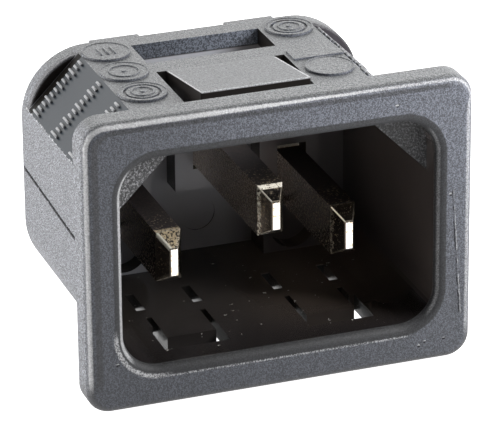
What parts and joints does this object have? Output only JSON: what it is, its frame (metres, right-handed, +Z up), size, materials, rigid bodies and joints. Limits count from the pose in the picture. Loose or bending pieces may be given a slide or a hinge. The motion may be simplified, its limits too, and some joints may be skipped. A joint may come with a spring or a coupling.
{
  "type": "c14 panel inlet socket",
  "caption": "Snap-in panel power inlet: a flanged sleeve whose keyed recess holds flat contact pins, with latches in its walls and push-on tabs behind.",
  "frame": {"origin": "centre of the panel cut-out, on the flange's rear face, which lies on the front of the panel", "axes": "+Z up, on the side of the earth pin and the keyed corners; +Y through the panel into the equipment, so the mouth faces -Y; +X right as seen from the mouth"},
  "size_m": [0.0306, 0.0292, 0.023],
  "materials": {
    "housing": "satin spark-eroded texture on the flange and top, smoother on the sides",
    "line_pin": "nickel plated, polished tip",
    "neutral_pin": "nickel plated, polished tip",
    "earth_pin": "nickel plated, polished tip"
  },
  "bodies": {
    "root": {"housing": "housing", "line_pin": "line_pin", "neutral_pin": "neutral_pin", "earth_pin": "earth_pin"}
  },
  "joints": []
}
